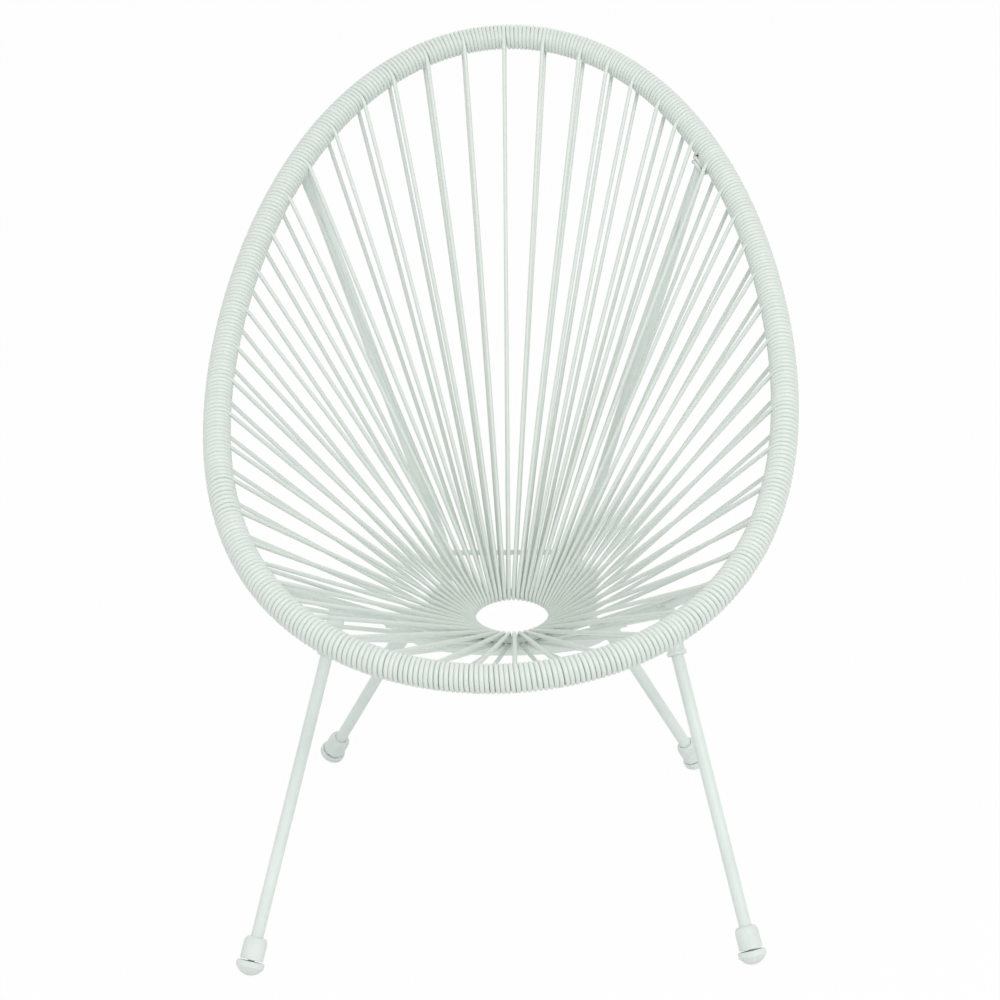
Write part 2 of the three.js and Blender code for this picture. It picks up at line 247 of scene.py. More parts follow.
@dataclass(frozen=True, kw_only=True)
class CordFinish(Finish):
    """Glossy extruded plastic cord: faint draw lines along it, a slow drift of tint."""

    streak_pitch: float
    streak_round: float
    streak_detail: float
    streak_share: float
    drift_pitch: float
    drift_detail: float

    def patterns(self, graph: Graph) -> tuple[bpy.types.NodeSocket, ...]:
        """Read the patterns along and round the cord, from its own attributes.

        Args:
            graph: The material's node tree.

        Returns:
            The patterns of tint, roughness and relief.
        """
        run = graph.add("Attribute", attribute_name="cord_run").outputs["Fac"]
        turn = graph.add("Attribute", attribute_name="cord_round").outputs["Fac"]
        angle = graph.math("MULTIPLY", turn, FULL_TURN)
        place = graph.add("CombineXYZ", {
            "X": graph.math("MULTIPLY", run, self.streak_pitch),
            "Y": graph.math("MULTIPLY", graph.math("COSINE", angle), self.streak_round),
            "Z": graph.math("MULTIPLY", graph.math("SINE", angle), self.streak_round),
        })
        slow = graph.add("CombineXYZ", {"X": graph.math("MULTIPLY", run, self.drift_pitch)})
        streaks = graph.noise(place.outputs["Vector"], 1.0, self.streak_detail)
        drift = graph.noise(slow.outputs["Vector"], 1.0, self.drift_detail)
        streak_part = graph.math("MULTIPLY", streaks, self.streak_share)
        drift_part = graph.math("MULTIPLY", drift, 1 - self.streak_share)
        return graph.math("ADD", streak_part, drift_part), streaks, streaks


@dataclass(frozen=True, kw_only=True)
class EvenFinish(Finish):
    """A finish that lies alike all over; each pattern is its pitch and its octaves."""

    clouds: tuple[float, float]
    rub: tuple[float, float]
    relief: tuple[float, float]

    def patterns(self, graph: Graph) -> tuple[bpy.types.NodeSocket, ...]:
        """Read the patterns on object coordinates."""
        place = graph.add("TexCoord").outputs["Object"]
        return tuple(graph.noise(place, *pattern) for pattern in (self.clouds, self.rub, self.relief))


FINISHES = {
    Slot.CORD: CordFinish(
        name="cord_plastic_gloss", pale=(228, 235, 229), deep=(218, 226, 219), relief_depth=0.00004,
        rough_low=0.30, rough_high=0.42, coat=0.12, coat_rough=0.22,
        streak_pitch=26.0, streak_round=2.6, streak_detail=4.0, streak_share=0.45,
        drift_pitch=3.1, drift_detail=2.0,
    ),
    # Satin powder coat with fine orange peel
    Slot.PAINT: EvenFinish(
        name="frame_paint_satin", pale=(229, 236, 232), deep=(218, 228, 222), relief_depth=0.00006,
        rough_low=0.34, rough_high=0.50, coat=0.08, coat_rough=0.30,
        clouds=(14.0, 5.0), rub=(70.0, 3.0), relief=(900.0, 2.0),
    ),
    # Matte moulded plastic with a fine spark grain
    Slot.FOOT: EvenFinish(
        name="foot_plastic_moulded", pale=(230, 236, 232), deep=(219, 227, 222), relief_depth=0.00008,
        rough_low=0.46, rough_high=0.62,
        clouds=(60.0, 4.0), rub=(2400.0, 3.0), relief=(2400.0, 3.0),
    ),
}


@functools.cache
def material_for(slot: Slot) -> bpy.types.Material:
    """The slot's material, made once."""
    return FINISHES[slot].material()


def dress(piece: bpy.types.Object, slot: Slot, *nodes: str) -> None:
    """Give a piece its finish, its body and the nodes that it stands for.

    Args:
        piece: The finished piece.
        slot: The record's slot.
        *nodes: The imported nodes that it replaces.
    """
    piece.data.materials.clear()
    piece.data.materials.append(material_for(slot))
    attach(piece, ROOT_BODY)
    if nodes:
        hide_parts(*nodes)
    LOG.info("%s: %d faces for %s", piece.name, len(piece.data.polygons), ", ".join(nodes) or "no node")


class Bench:
    """Hand moves in Blender on one active piece."""

    @staticmethod
    def clear() -> None:
        """Leave edit mode with nothing selected."""
        if bpy.context.object and bpy.context.object.mode != "OBJECT":
            bpy.ops.object.mode_set(mode="OBJECT")
        bpy.ops.object.select_all(action="DESELECT")

    @staticmethod
    def take(piece: bpy.types.Object) -> None:
        """Select one piece alone and make it the active one."""
        Bench.clear()
        piece.select_set(True)
        bpy.context.view_layer.objects.active = piece

    @staticmethod
    def open(piece: bpy.types.Object) -> None:
        """Go into edit mode on one piece with all of it selected."""
        Bench.take(piece)
        bpy.ops.object.mode_set(mode="EDIT")
        bpy.ops.mesh.select_all(action="SELECT")

    @staticmethod
    def named(name: str) -> bpy.types.Object:
        """Name the active piece and its mesh, and return it."""
        piece = bpy.context.object
        piece.name = name
        piece.data.name = name
        return piece

    @staticmethod
    def ring(name: str, radius: float, sides: int, place: Vector, along: Vector) -> bpy.types.Object:
        """Add an open ring square to a direction and go into edit mode with it selected.

        Args:
            name: The piece's name.
            radius: The ring's radius.
            sides: Its corners.
            place: Its centre.
            along: Its axis.

        Returns:
            The new piece.
        """
        Bench.clear()
        turn = along.to_track_quat("Z", "Y").to_euler()
        bpy.ops.mesh.primitive_circle_add(vertices=sides, radius=radius, location=place, rotation=turn)
        piece = Bench.named(name)
        bpy.ops.object.transform_apply()
        Bench.open(piece)
        return piece

    @staticmethod
    def draw_out(step: Vector) -> None:
        """Extrude the selected ring by a step."""
        bpy.ops.mesh.extrude_region_move(TRANSFORM_OT_translate={"value": step})

    @staticmethod
    def finish(piece: bpy.types.Object, sharp_angle: float = SHARP_ANGLE) -> bpy.types.Object:
        """Merge doubles, point faces outwards and smooth all but the sharp edges.

        Args:
            piece: The piece, in any mode.
            sharp_angle: Edges sharper than this stay sharp.

        Returns:
            The piece.
        """
        Bench.open(piece)
        bpy.ops.mesh.remove_doubles(threshold=MERGE_REACH)
        bpy.ops.mesh.normals_make_consistent(inside=False)
        bpy.ops.object.mode_set(mode="OBJECT")
        bpy.ops.object.shade_smooth_by_angle(angle=sharp_angle)
        return piece

    @staticmethod
    def bevelled(piece: bpy.types.Object, width: float, segments: int) -> None:
        """Round a piece's sharp edges with an applied bevel.

        Args:
            piece: The piece in object mode.
            width: The bevel's width.
            segments: Its steps.
        """
        bevel = piece.modifiers.new("edge_round", "BEVEL")
        bevel.width = width
        bevel.segments = segments
        bevel.limit_method = "ANGLE"
        bevel.angle_limit = SHARP_ANGLE
        Bench.take(piece)
        bpy.ops.object.modifier_apply(modifier=bevel.name)

    @staticmethod
    def swept(
        name: str, route: list[Vector], radius: float, rounds: int, closed: bool,
        swells: list[float] | None = None,
    ) -> bpy.types.Object:
        """Sweep a round section along a route as a curve, then make it a mesh.

        Args:
            name: The piece's name.
            route: The points that the centreline passes.
            radius: The section's radius.
            rounds: The section's bevel resolution.
            closed: Whether the route is a loop.
            swells: Radius factors, one for each point.

        Returns:
            The mesh piece.
        """
        curve = bpy.data.curves.new(name, "CURVE")
        curve.dimensions = "3D"
        curve.bevel_depth = radius
        curve.bevel_resolution = rounds
        curve.use_fill_caps = not closed
        spline = curve.splines.new("POLY")
        spline.points.add(len(route) - 1)
        spline.use_cyclic_u = closed
        spline.points.foreach_set("co", [value for point in route for value in (*point, 1.0)])
        if swells:
            spline.points.foreach_set("radius", swells)
        piece = bpy.data.objects.new(name, curve)
        bpy.context.collection.objects.link(piece)
        Bench.take(piece)
        bpy.ops.object.convert(target="MESH")
        return Bench.named(name)


@dataclass
class Hoop:
    """The steel hoop; its shares run from the top of the back round by the right side."""

    half_width: float = 0.349
    shoulder: float = 0.010
    fullness: float = 0.008
    half_depth: float = 0.457
    mid_height: float = 0.6228
    rise: float = 0.2462
    crown: float = 0.043
    tube: float = 0.022
    samples: int = 1040
    tube_steps: int = 208
    tube_rounds: int = 4
    lengths: list[float] = field(init=False)

    def __post_init__(self) -> None:
        """Measure the outline in small steps."""
        self.lengths = distances([self.shape(step / self.samples) for step in range(self.samples + 1)])

    @property
    def length(self) -> float:
        """The length once round."""
        return self.lengths[-1]

    def shape(self, part: float) -> Vector:
        """The outline's point at a part of a turn."""
        turn = FULL_TURN * part
        back = math.cos(turn)
        side = self.half_width * math.sin(turn) - self.shoulder * math.sin(2 * turn)
        side += self.fullness * math.sin(3 * turn)
        height = self.mid_height + self.rise * back + self.crown * back ** 2
        return Vector((side, self.half_depth * back, height))

    def part_at(self, share: float) -> float:
        """Turn a share of the length into a part of a turn.

        Args:
            share: The share of the length, any whole turns included.

        Returns:
            The part of a turn.
        """
        wanted = (share % 1.0) * self.length
        low = min(bisect.bisect_right(self.lengths, wanted), self.samples) - 1
        step = self.lengths[low + 1] - self.lengths[low]
        return (low + (wanted - self.lengths[low]) / step) / self.samples

    def at(self, share: float) -> Vector:
        """The centreline's point at a share of the length."""
        return self.shape(self.part_at(share))

    def along(self, share: float) -> Vector:
        """The centreline's direction at a share of the length."""
        reach = 1e-4
        part = self.part_at(share)
        return (self.shape(part + reach) - self.shape(part - reach)).normalized()

    def build(self) -> None:
        """Make the hoop's tube under the winding."""
        route = [self.at(step / self.tube_steps) for step in range(self.tube_steps)]
        piece = Bench.swept("hoop_tube", route, self.tube / 2, self.tube_rounds, True)
        dress(Bench.finish(piece), Slot.PAINT, "rim_hoop")


@dataclass
class CentreRing:
    """The small ring under the seat that every span loops round."""

    radius: float = 0.057
    rod: float = 0.010
    height: float = 0.262
    sideways: float = 0.006
    forward: float = 0.008
    tilt: float = math.radians(5.5)
    seam_half: float = 0.0022
    seam_swell: float = 0.0005
    ring_sides: int = 104
    rod_sides: int = 16

    @property
    def centre(self) -> Vector:
        """The ring's centre."""
        return Vector((self.sideways, self.forward, self.height))

    def outward(self, share: float) -> Vector:
        """The direction to the rod at a share of a turn, from the back round by the right side."""
        turn = FULL_TURN * share
        return Matrix.Rotation(self.tilt, 3, "X") @ Vector((math.sin(turn), math.cos(turn), 0.0))

    def build(self) -> None:
        """Make the ring with its butt weld at the back."""
        Bench.clear()
        bpy.ops.mesh.primitive_torus_add(
            major_radius=self.radius, minor_radius=self.rod / 2,
            major_segments=self.ring_sides, minor_segments=self.rod_sides,
            location=self.centre, rotation=(self.tilt, 0.0, 0.0),
        )
        piece = bpy.context.object
        piece.name = "seat_ring"
        bpy.ops.object.transform_apply()
        bpy.ops.object.mode_set(mode="EDIT")
        bpy.ops.mesh.select_all(action="DESELECT")
        bpy.ops.object.mode_set(mode="OBJECT")
        for vertex in piece.data.vertices:
            behind = vertex.co.y > self.forward
            vertex.select = behind and abs(vertex.co.x - self.sideways) < self.seam_half
        bpy.ops.object.mode_set(mode="EDIT")
        bpy.ops.mesh.select_mode(type="VERT")
        bpy.ops.transform.shrink_fatten(value=self.seam_swell)
        dress(Bench.finish(piece, BLUNT_ANGLE), Slot.PAINT, "centre_ring")


@dataclass(frozen=True)
class Bar:
    """A straight round bar: a point on its axis, the axis's direction and its radius."""

    place: Vector
    along: Vector
    radius: float


@dataclass
class SideTube:
    """A bent tube from the hoop's front weld under the seat to its back weld."""

    hoop: Hoop
    hand: Hand
    diameter: float = 0.0155
    bend_radius: float = 0.070
    low_front: Place = (0.115, 0.038, 0.228)
    low_back: Place = (0.078, 0.195, 0.230)
    front_share: float = 0.3873
    right_back_share: float = 0.1252
    left_back_share: float = 0.1306
    sides: int = 24
    bend_steps: int = 14
    sharp_angle: float = 1.0

    @property
    def back_share(self) -> float:
        """The share of the hoop where this tube's back end is welded on."""
        return self.right_back_share if self.hand is Hand.RIGHT else self.left_back_share

    def hoop_share(self, share: float) -> float:
        """Move a right-hand share of the hoop to this tube's hand."""
        return 1 - share if self.hand is Hand.LEFT else share

    def mirrored(self, point: Vector) -> Vector:
        """Move a right-hand point to this tube's hand."""
        return Vector((self.hand.value * point.x, point.y, point.z))

    def corners(self) -> list[Vector]:
        """The tube's corners, from the front weld to the back weld."""
        points = [
            self.hoop.at(self.front_share), Vector(self.low_front),
            Vector(self.low_back), self.hoop.at(self.back_share),
        ]
        return [self.mirrored(point) for point in points]

    def run(self, number: int) -> Bar:
        """The straight run that starts at a corner, 0 being the front weld."""
        start, end = self.corners()[number:number + 2]
        return Bar(start, end - start, self.diameter / 2)

    def front_run(self, share: float) -> Vector:
        """The point at a share of the way from the front weld to the low front corner."""
        corners = self.corners()
        return corners[0].lerp(corners[1], share)

    def build(self) -> None:
        """Draw the tube out along its runs and spin it through its bends."""
        corners = self.corners()
        seat = self.hoop.tube / 2
        runs = [(after - before).normalized() for before, after in zip(corners, corners[1:])]
        place = corners[0] + runs[0] * seat
        piece = Bench.ring(f"side_stay_{self.hand.word}", self.diameter / 2, self.sides, place, runs[0])
        for number in (1, 2):
            into, out = runs[number - 1], runs[number]
            angle = into.angle(out)
            reach = self.bend_radius * math.tan(angle / 2)
            start = corners[number] - into * reach
            axis = into.cross(out).normalized()
            centre = start + axis.cross(into) * self.bend_radius
            Bench.draw_out(start - place)
            bpy.ops.mesh.spin(
                steps=self.bend_steps, angle=-angle, center=centre, axis=axis, use_auto_merge=False,
            )
            place = corners[number] + out * reach
        Bench.draw_out(corners[3] - runs[2] * seat - place)
        dress(Bench.finish(piece, self.sharp_angle), Slot.PAINT, f"side_tube_{self.hand.word}")


@dataclass
class WeldBead:
    """A bead of weld where a round bar meets the side of another."""

    name: str
    bar: Bar
    carrier: Bar
    thickness: float = 0.0019
    ripple: float = 0.16
    ripples: int = 15
    ripple_steps: int = 4
    rounds: int = 2

    def route(self, turns: list[float]) -> list[Vector]:
        """Where the two bars' surfaces meet, as a loop.

        Args:
            turns: The angles round the bar.

        Returns:
            The loop's points.
        """
        along = self.bar.along.normalized()
        carrier = self.carrier.along.normalized()
        side = along.cross(carrier).normalized()
        front = side.cross(along)
        across = along - carrier * along.dot(carrier)
        points = []
        for turn in turns:
            start = self.bar.place + (front * math.cos(turn) + side * math.sin(turn)) * self.bar.radius
            gap = start - self.carrier.place
            gap -= carrier * gap.dot(carrier)
            slope = gap.dot(across)
            outside = gap.length_squared - self.carrier.radius ** 2
            room = max(slope ** 2 - across.length_squared * outside, 0.0)
            points.append(start + along * (math.sqrt(room) - slope) / across.length_squared)
        return points

    def build(self) -> None:
        """Lay the rippled bead."""
        steps = self.ripple_steps * self.ripples
        turns = [FULL_TURN * step / steps for step in range(steps)]
        swells = [1 + self.ripple * math.cos(self.ripples * turn) for turn in turns]
        piece = Bench.swept(self.name, self.route(turns), self.thickness, self.rounds, True, swells)
        dress(Bench.finish(piece, BLUNT_ANGLE), Slot.PAINT)


@dataclass
class FrontBow:
    """The bowed bar between the side tubes, just under the front of the centre ring."""

    tubes: list[SideTube]
    diameter: float = 0.019
    middle: Place = (0.0, -0.030, 0.2345)
    knee: Place = (0.105, -0.032, 0.248)
    weld_share: float = 0.75
    mark_steps: int = 14
    rounds: int = 6

    def route(self) -> list[Vector]:
        """The bow's centreline, right to left, as a smooth curve through its five marks."""
        right, left = self.tubes
        share = FRONT_SOCKET_SHARE + (REAR_SOCKET_SHARE - FRONT_SOCKET_SHARE) * self.weld_share
        marks = [
            right.front_run(share), right.mirrored(Vector(self.knee)), Vector(self.middle),
            left.mirrored(Vector(self.knee)), left.front_run(share),
        ]
        marks = [2 * marks[0] - marks[1], *marks, 2 * marks[-1] - marks[-2]]
        points = []
        for before, start, end, after in zip(marks, marks[1:], marks[2:], marks[3:]):
            points.extend(self.stretch(before, start, end, after))
        return [*points, marks[-2]]

    def stretch(self, before: Vector, start: Vector, end: Vector, after: Vector) -> list[Vector]:
        """Points of a centripetal spline from start up to, not with, end.

        Args:
            before: The mark before the start.
            start: Where the stretch starts.
            end: Where it ends.
            after: The mark after the end.

        Returns:
            The points.
        """
        pairs = ((before, start), (start, end), (end, after))
        first, middle, last = (math.sqrt((later - earlier).length) for earlier, later in pairs)
        leave = (start - before) / first - (end - before) / (first + middle) + (end - start) / middle
        arrive = (end - start) / middle - (after - start) / (middle + last) + (after - end) / last
        leave, arrive = leave * middle, arrive * middle
        cubic = 2 * start - 2 * end + leave + arrive
        square = -3 * start + 3 * end - 2 * leave - arrive
        points = []
        for step in range(self.mark_steps):
            share = step / self.mark_steps
            points.append(start + leave * share + square * share ** 2 + cubic * share ** 3)
        return points

    def build(self) -> None:
        """Make the bow and the beads at its ends."""
        route = self.route()
        piece = Bench.swept("bow_bar", route, self.diameter / 2, self.rounds, False)
        dress(Bench.finish(piece), Slot.PAINT, "front_bow")
        for tube, end, inner in ((self.tubes[0], route[0], route[2]), (self.tubes[1], route[-1], route[-3])):
            bar = Bar(end, inner - end, self.diameter / 2)
            WeldBead(f"bead_bow_{tube.hand.word}", bar, tube.run(0)).build()


@dataclass
class RearCrossbar:
    """The thin straight rod between the upright runs of the side tubes."""

    tubes: list[SideTube]
    rod: float = 0.0075
    height: float = 0.262
    bead: float = 0.0013
    seat_share: float = 1 / 3
    sides: int = 20
    steps: int = 6

    def build(self) -> None:
        """Make the rod and the beads at its ends."""
        ends = []
        for tube in self.tubes:
            low, high = tube.corners()[2:]
            ends.append(low.lerp(high, (self.height - low.z) / (high.z - low.z)))
        across = (ends[1] - ends[0]).normalized()
        seat = across * self.tubes[0].diameter * self.seat_share
        start, end = ends[0] + seat, ends[1] - seat
        piece = Bench.ring("crossbar_rod", self.rod / 2, self.sides, start, across)
        bpy.ops.mesh.edge_face_add()
        for _ in range(self.steps):
            Bench.draw_out((end - start) / self.steps)
        dress(Bench.finish(piece), Slot.PAINT, "rear_crossbar")
        for tube, place, along in ((self.tubes[0], ends[0], across), (self.tubes[1], ends[1], -across)):
            bar = Bar(place, along, self.rod / 2)
            WeldBead(f"bead_crossbar_{tube.hand.word}", bar, tube.run(2), self.bead).build()


@dataclass
class Leg:
    """One splayed leg: its welded socket, its tube and its two-part plastic foot."""

    tube: SideTube
    row: str
    socket_share: float
    foot_x: float
    foot_y: float
    socket_outside: float = 0.0215
    socket_length: float = 0.063
    collar: float = 0.024
    collar_length: float = 0.005
    collar_ease: float = 0.0008
    socket_round: Rounding = (0.0009, 3)
    leg_tube: float = 0.015
    leg_wall: float = 0.0015
    leg_stop: float = 0.022
    leg_parts: int = 3
    leg_round: Rounding = (0.0003, 2)
    fit: float = 0.00035
    sleeve_outside: float = 0.028
    sleeve_shoulder: float = 0.018
    sleeve_length: float = 0.027
    sleeve_floor: float = 0.005
    bell_stretch: float = 1.6
    bell_steps: int = 5
    sleeve_round: Rounding = (0.0006, 3)
    seam: float = 0.0018
    glide_outside: float = 0.0335
    glide_height: float = 0.0165
    glide_shoulder: float = 0.0305
    glide_ridge: float = 0.0012
    glide_dome: float = 0.018
    glide_flat: float = 0.0005
    dome_steps: int = 10
    glide_round: Rounding = (0.0005, 3)
    spigot: float = 0.008
    spigot_length: float = 0.004
    sides: int = 36

    @property
    def tail(self) -> str:
        """The end of this leg's piece names."""
        return f"{self.row}_{self.tube.hand.word}"

    @property
    def top(self) -> Vector:
        """Where the leg's axis meets the side tube's axis."""
        return self.tube.front_run(self.socket_share)

    @property
    def foot(self) -> Vector:
        """The centre of the glide's dome."""
        return Vector((self.tube.hand.value * self.foot_x, self.foot_y, self.glide_dome - self.glide_flat))

    @property
    def down(self) -> Vector:
        """The leg's direction."""
        return (self.foot - self.top).normalized()

    @property
    def seam_height(self) -> float:
        """From the dome's centre up to the sleeve's lower edge."""
        return self.glide_height - self.glide_dome + self.seam

    def turned(
        self, name: str, profile: list[tuple[float, float]], origin: Vector, along: Vector,
        rounding: Rounding,
    ) -> bpy.types.Object:
        """Draw a ring out through a profile of radii and distances, then stand it on its axis.

        Args:
            name: The piece's name.
            profile: Radius and distance pairs; a zero radius closes the piece.
            origin: Where distance zero lies.
            along: The axis.
            rounding: The width and steps of the bevel on its sharp edges.

        Returns:
            The piece.
        """
        radius, height = profile[0]
        piece = Bench.ring(name, radius, self.sides, UP * height, UP)
        for next_radius, next_height in profile[1:]:
            Bench.draw_out(UP * (next_height - height))
            if next_radius > 0:
                scale = next_radius / radius
                bpy.ops.transform.resize(value=(scale, scale, 1.0), center_override=(0.0, 0.0, next_height))
                radius = next_radius
            else:
                bpy.ops.mesh.merge(type="CENTER")
            height = next_height
        Bench.finish(piece)
        Bench.bevelled(piece, *rounding)
        piece.rotation_euler = along.to_track_quat("Z", "Y").to_euler()
        piece.location = origin
        bpy.ops.object.transform_apply()
        return piece

    def build_socket(self) -> None:
        """Make the socket with its collar, and the bead that holds it."""
        bore = self.leg_tube / 2 + self.fit
        outside, collar = self.socket_outside / 2, self.collar / 2
        step = self.socket_length - self.collar_length
        profile = [
            (bore, 0.0), (outside, 0.0), (outside, step), (collar, step + self.collar_ease),
            (collar, self.socket_length), (bore, self.socket_length), (bore, 0.0),
        ]
        piece = self.turned(f"socket_{self.tail}", profile, self.top, self.down, self.socket_round)
        dress(piece, Slot.PAINT, f"leg_socket_{self.tail}")
        bar = Bar(self.top, self.down, outside)
        WeldBead(f"bead_socket_{self.tail}", bar, self.tube.run(0)).build()

    def build_tube(self) -> None:
        """Make the leg's thin-walled tube."""
        outside = self.leg_tube / 2
        bore = outside - self.leg_wall
        end = (self.foot - self.top).length - self.seam_height - self.sleeve_floor - self.fit
        part = (end - self.leg_stop) / self.leg_parts
        outer_edge = [(outside, self.leg_stop + part * number) for number in range(1, self.leg_parts)]
        profile = [
            (bore, self.leg_stop), (outside, self.leg_stop), *outer_edge,
            (outside, end), (bore, end), (bore, self.leg_stop),
        ]
        piece = self.turned(f"splayed_leg_{self.tail}", profile, self.top, self.down, self.leg_round)
        dress(piece, Slot.PAINT, f"leg_{self.tail}")

    def build_sleeve(self) -> None:
        """Make the sleeve over the leg's end, with its rounded shoulder."""
        base = self.seam_height
        top = base + self.sleeve_length
        bore = self.leg_tube / 2 + self.fit
        pocket = self.spigot / 2 + self.fit
        outside, shoulder = self.sleeve_outside / 2, self.sleeve_shoulder / 2
        drop = outside - shoulder
        bell = []
        for step in range(self.bell_steps + 1):
            turn = QUARTER * step / self.bell_steps
            fall = self.bell_stretch * drop * (1 - math.sin(turn))
            bell.append((shoulder + drop * math.cos(turn), top - fall))
        profile = [
            (bore, top), (bore, base + self.sleeve_floor), (pocket, base + self.sleeve_floor / 2),
            (pocket, base), (outside, base), *bell, (bore, top),
        ]
        piece = self.turned(f"sleeve_{self.tail}", profile, self.foot, -self.down, self.sleeve_round)
        dress(piece, Slot.FOOT, f"foot_sleeve_{self.tail}")

    def build_glide(self) -> None:
        """Make the domed glide under the sleeve, worn flat where it stands."""
        top = self.seam_height - self.seam
        rim = self.glide_shoulder / 2
        widest = math.acos(min(1.0, rim / self.glide_dome))
        outside, spigot = self.glide_outside / 2, self.spigot / 2
        dome = []
        for step in range(self.dome_steps, 0, -1):
            turn = -QUARTER + (QUARTER - widest) * step / self.dome_steps
            dome.append((self.glide_dome * math.cos(turn), self.glide_dome * math.sin(turn)))
        low = outside - rim - self.glide_dome * math.sin(widest)
        profile = [
            (spigot, top + self.spigot_length), (spigot, top), (outside - self.glide_ridge, top),
            (outside, top - self.glide_ridge), (outside, low), *dome, (0.0, -self.glide_dome),
        ]
        piece = self.turned(f"glide_{self.tail}", profile, self.foot, -self.down, self.glide_round)
        Bench.open(piece)
        bpy.ops.mesh.bisect(
            plane_co=(0, 0, 0), plane_no=UP, use_fill=True, clear_inner=True, threshold=MERGE_REACH,
        )
        Bench.finish(piece)
        dress(piece, Slot.FOOT, f"foot_glide_{self.tail}")

    def build(self) -> None:
        """Make the leg's four pieces."""
        self.build_socket()
        self.build_tube()
        self.build_sleeve()
        self.build_glide()


@dataclass
class Weld:
    """Where a side tube meets the hoop, for the turns that part round it."""

    share: float
    along: Vector


@dataclass
class Section:
    """The hoop's cross-section at one place: its centre and three directions."""

    centre: Vector
    along: Vector
    inward: Vector
    upper: Vector


